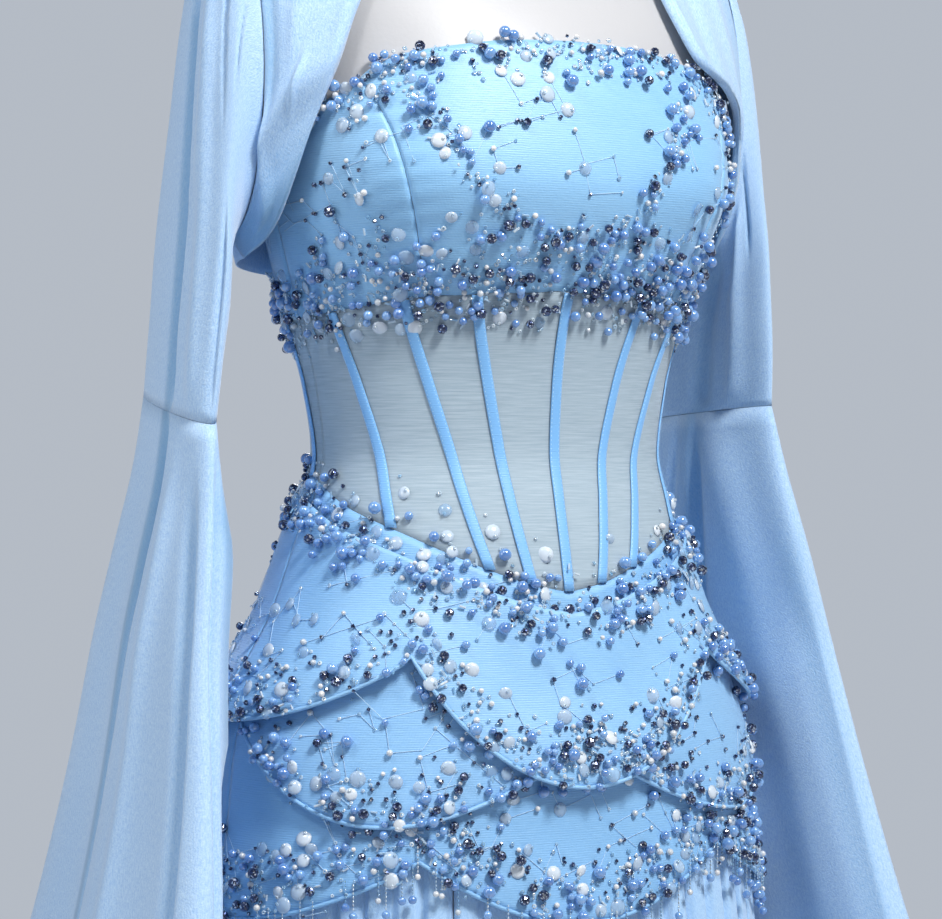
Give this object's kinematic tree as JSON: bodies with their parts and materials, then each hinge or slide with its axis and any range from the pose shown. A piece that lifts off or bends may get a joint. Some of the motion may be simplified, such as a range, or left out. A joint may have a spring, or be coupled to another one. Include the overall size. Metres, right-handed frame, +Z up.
{
  "type": "prom dress on dress form",
  "caption": "Floor-length strapless evening dress with net midriff, scalloped beaded tiers, pleated skirt and bell-sleeved shrug, worn by a limbless form on a pole stand.",
  "frame": {"origin": "centre of the stand's base plate, on its underside, where it rests on the floor", "axes": "+Z up along the pole, -Y toward the front of the dress, +X toward the wearer's left"},
  "size_m": [0.6898, 0.6248, 1.4413],
  "materials": {
    "bodice_satin": "ribbed satin with a soft sheen",
    "tier_satin": "ribbed satin with a soft sheen",
    "channel_tape": "flat satin tape over boning",
    "midriff_net": "fine sheer net",
    "skirt_chiffon": "pleated crepe chiffon",
    "sleeve_chiffon": "matt crepe chiffon",
    "zip_tape": "closed concealed zip",
    "form_shell": "smooth off-white shell",
    "form_metal": "brushed"
  },
  "bodies": {
    "root": {"form_torso": "form_shell", "form_neck_cap": "form_metal", "form_pole": "form_metal", "form_base": "form_metal", "bodice_front": "bodice_satin", "bodice_side_L": "bodice_satin", "bodice_side_R": "bodice_satin", "bodice_back_L": "bodice_satin", "bodice_back_R": "bodice_satin", "midriff_net_front": "midriff_net", "midriff_net_back_L": "midriff_net", "midriff_net_back_R": "midriff_net", "boning_channel_centre": "channel_tape", "boning_channel_1_L": "channel_tape", "boning_channel_1_R": "channel_tape", "boning_channel_2_L": "channel_tape", "boning_channel_2_R": "channel_tape", "boning_channel_3_L": "channel_tape", "boning_channel_3_R": "channel_tape", "boning_channel_4_L": "channel_tape", "boning_channel_4_R": "channel_tape", "boning_channel_5_L": "channel_tape", "boning_channel_5_R": "channel_tape", "boning_channel_6_L": "channel_tape", "boning_channel_6_R": "channel_tape", "back_zip": "zip_tape", "hip_yoke_front": "tier_satin", "hip_yoke_back_L": "tier_satin", "hip_yoke_back_R": "tier_satin", "tier_2_front": "tier_satin", "tier_2_back_L": "tier_satin", "tier_2_back_R": "tier_satin", "tier_1_front": "tier_satin", "tier_1_back_L": "tier_satin", "tier_1_back_R": "tier_satin", "skirt_front": "skirt_chiffon", "skirt_side_front_R": "skirt_chiffon", "skirt_side_back_R": "skirt_chiffon", "skirt_back_R": "skirt_chiffon", "skirt_back_L": "skirt_chiffon", "skirt_side_back_L": "skirt_chiffon", "skirt_side_front_L": "skirt_chiffon", "shrug_back": "sleeve_chiffon", "shrug_front_L": "sleeve_chiffon", "shrug_front_R": "sleeve_chiffon", "sleeve_upper_L": "sleeve_chiffon", "sleeve_upper_R": "sleeve_chiffon", "sleeve_bell_L": "sleeve_chiffon", "sleeve_bell_R": "sleeve_chiffon"}
  },
  "joints": []
}
